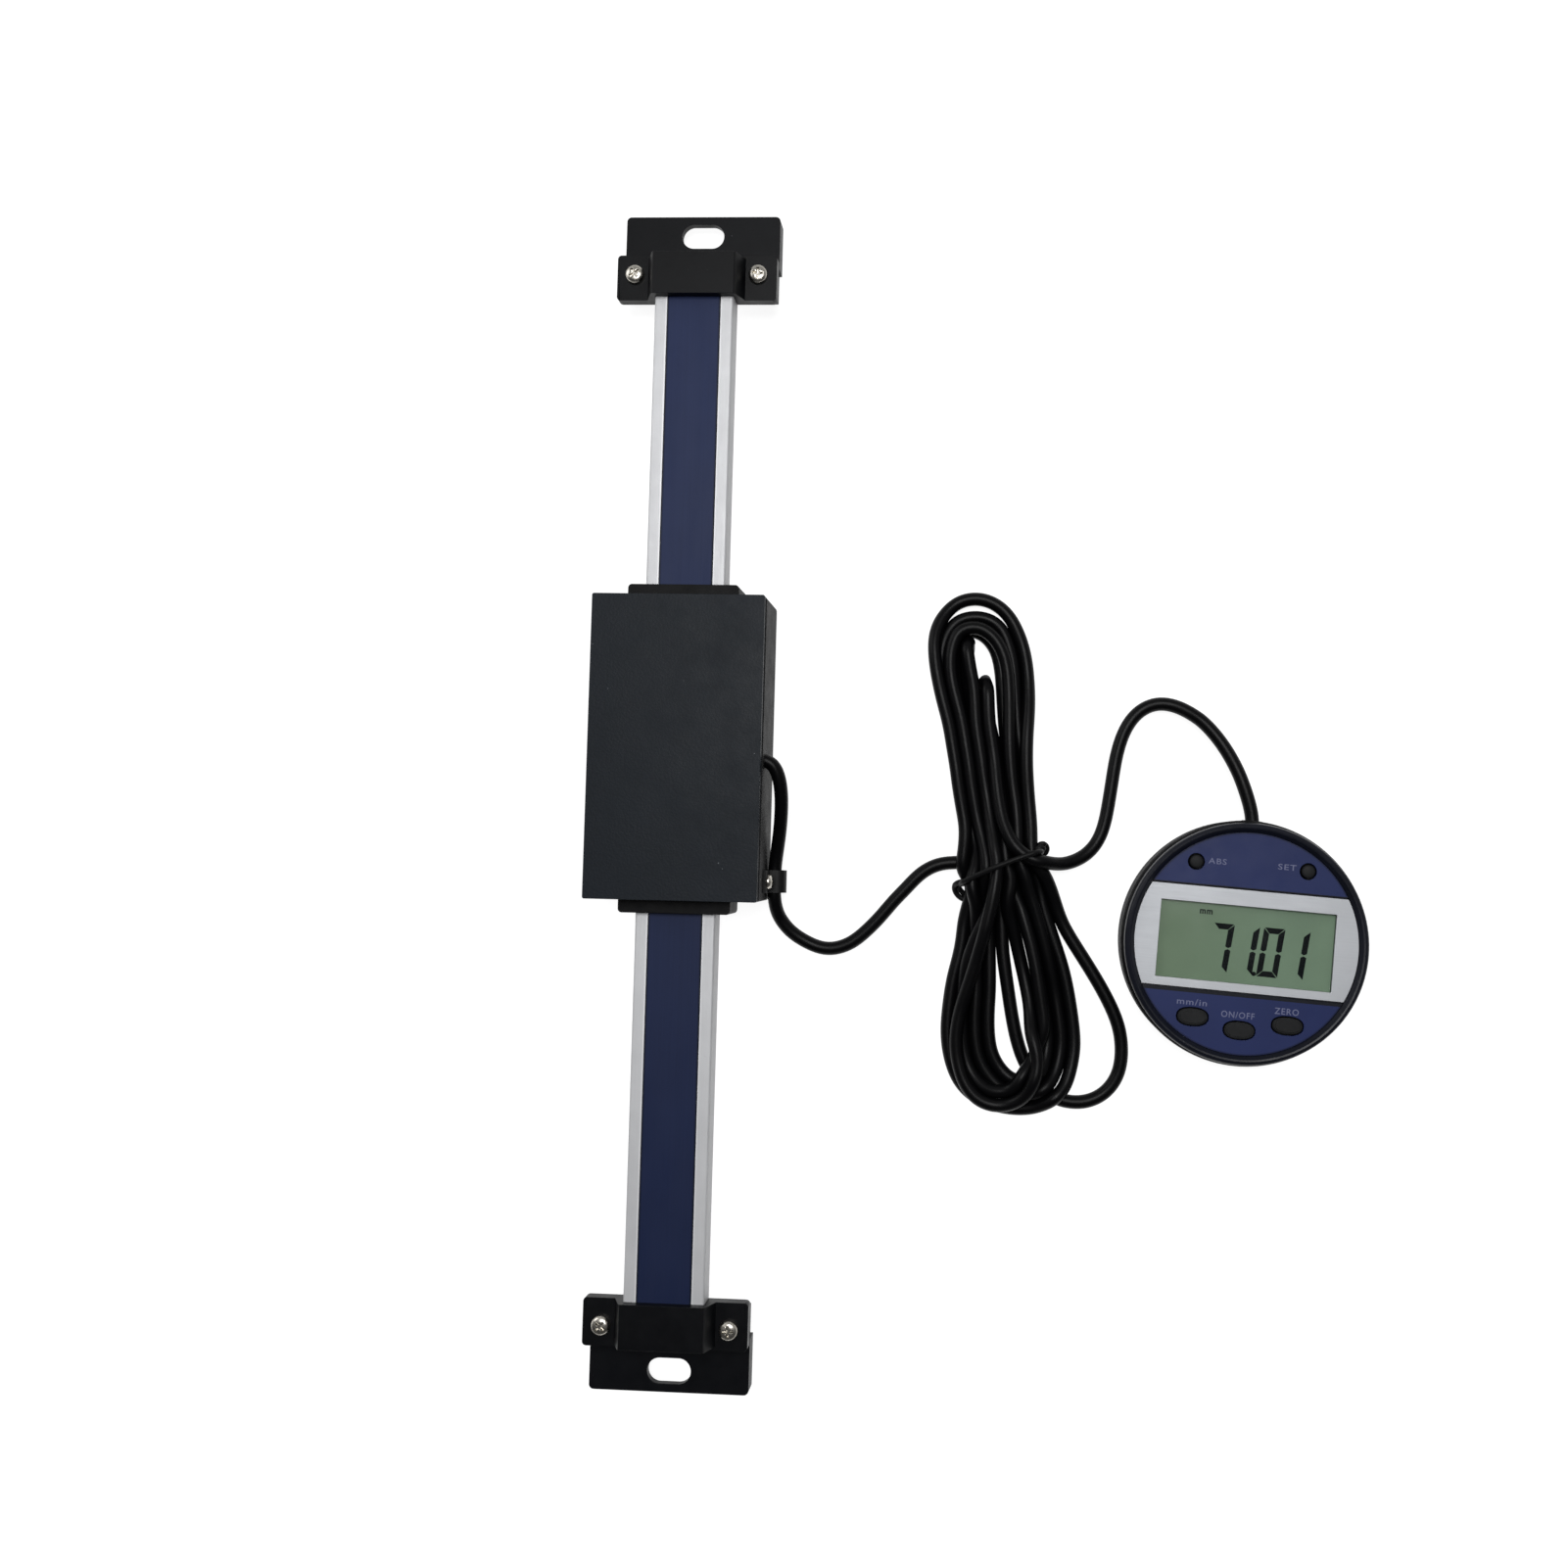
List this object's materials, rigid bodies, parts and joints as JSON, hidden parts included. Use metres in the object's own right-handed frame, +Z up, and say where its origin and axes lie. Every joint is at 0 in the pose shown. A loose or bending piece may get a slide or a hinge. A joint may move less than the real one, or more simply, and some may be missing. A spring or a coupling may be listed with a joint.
{
  "type": "linear scale with remote display",
  "caption": "Aluminium beam with a sliding black read head, slotted end brackets and a round display on a bundled cable.",
  "frame": {"origin": "on the surface the scale lies on, under the centre of the bounding box of the scale and its display, cord left out", "axes": "+Y along the beam, towards the end nearer the head; +Z up out of the faces; +X from the beam towards the display"},
  "size_m": [0.1914, 0.299, 0.0208],
  "materials": {
    "beam_aluminium": "satin, drawn along the beam",
    "scale_circuit": "printed circuit",
    "scale_blue": "smooth film",
    "bracket_black": "satin black coat",
    "strap_black": "satin black coat",
    "screw_steel": "bright plated",
    "insert_brass": "turned",
    "shell_black": "fine texture",
    "cover_black": "pebbled matte",
    "collar_black": "matte",
    "felt_grey": "pressed felt",
    "carriage_zinc": "cast, machined",
    "gib_brass": "machined",
    "screw_dark": "dark",
    "pad_white": "smooth",
    "circuit_green": "solder mask",
    "chip_black": "moulded",
    "screw_zinc": "zinc plated",
    "rubber_black": "matte",
    "clip_black": "satin nylon",
    "case_black": "gloss",
    "bezel_black": "gloss",
    "face_blue": "printed, satin",
    "band_silver": "brushed across",
    "window_clear": "polished",
    "lcd_green": "reflective liquid crystal",
    "strip_pink": "layered",
    "battery_steel": "nickel plated",
    "contact_gold": "spring strip",
    "magnet_nickel": "nickel plated",
    "button_rubber": "matte",
    "cord_black": "satin sheath",
    "tie_black": "coated wire"
  },
  "bodies": {
    "root": {"head_base": "shell_black", "head_cover": "cover_black", "wiper_collar_top": "collar_black", "wiper_collar_bottom": "collar_black", "wiper_felt_top": "felt_grey", "wiper_felt_bottom": "felt_grey", "carriage": "carriage_zinc", "gib_strip": "gib_brass", "gib_screws": "screw_dark", "glide_pads": "pad_white", "sensor_board": "circuit_green", "sensor_chips": "chip_black", "board_screws": "screw_zinc", "cover_screws": "screw_zinc", "mounting_inserts": "insert_brass", "cable_grommet": "rubber_black", "cable_clip": "clip_black", "clip_screw": "screw_steel", "display_back": "case_black", "display_front": "bezel_black", "face_panel": "face_blue", "window_band": "band_silver", "lcd_window": "window_clear", "lcd_glass": "lcd_green", "contact_strips": "strip_pink", "display_board": "circuit_green", "tact_switches": "battery_steel", "battery": "battery_steel", "battery_contact": "contact_gold", "battery_cover": "case_black", "back_screws": "screw_dark", "back_magnets": "magnet_nickel", "display_bush": "rubber_black", "head_lead": "cord_black", "cord_hank": "cord_black", "hank_tie": "tie_black", "display_lead": "cord_black"},
    "beam": {"beam_extrusion": "beam_aluminium", "scale_board": "scale_circuit", "scale_overlay": "scale_blue", "end_base_top": "bracket_black", "end_base_bottom": "bracket_black", "end_strap_top": "strap_black", "end_strap_bottom": "strap_black", "strap_screws": "screw_steel", "strap_inserts": "insert_brass"},
    "button_abs": {"button_abs": "button_rubber"},
    "button_set": {"button_set": "button_rubber"},
    "button_unit": {"button_unit": "button_rubber"},
    "button_power": {"button_power": "button_rubber"},
    "button_zero": {"button_zero": "button_rubber"}
  },
  "joints": [
    {"name": "beam_slide", "type": "slide", "parent": "root", "child": "beam", "axis": [0, 1, 0], "range_m": [-0.0734, 0.0944]},
    {"name": "button_abs_press", "type": "slide", "parent": "root", "child": "button_abs", "axis": [0, 0, -1], "range_m": [0, 0.0005], "stiffness_N_per_m": 400},
    {"name": "button_set_press", "type": "slide", "parent": "root", "child": "button_set", "axis": [0, 0, -1], "range_m": [0, 0.0005], "stiffness_N_per_m": 400},
    {"name": "button_unit_press", "type": "slide", "parent": "root", "child": "button_unit", "axis": [0, 0, -1], "range_m": [0, 0.0005], "stiffness_N_per_m": 400},
    {"name": "button_power_press", "type": "slide", "parent": "root", "child": "button_power", "axis": [0, 0, -1], "range_m": [0, 0.0005], "stiffness_N_per_m": 400},
    {"name": "button_zero_press", "type": "slide", "parent": "root", "child": "button_zero", "axis": [0, 0, -1], "range_m": [0, 0.0005], "stiffness_N_per_m": 400}
  ]
}
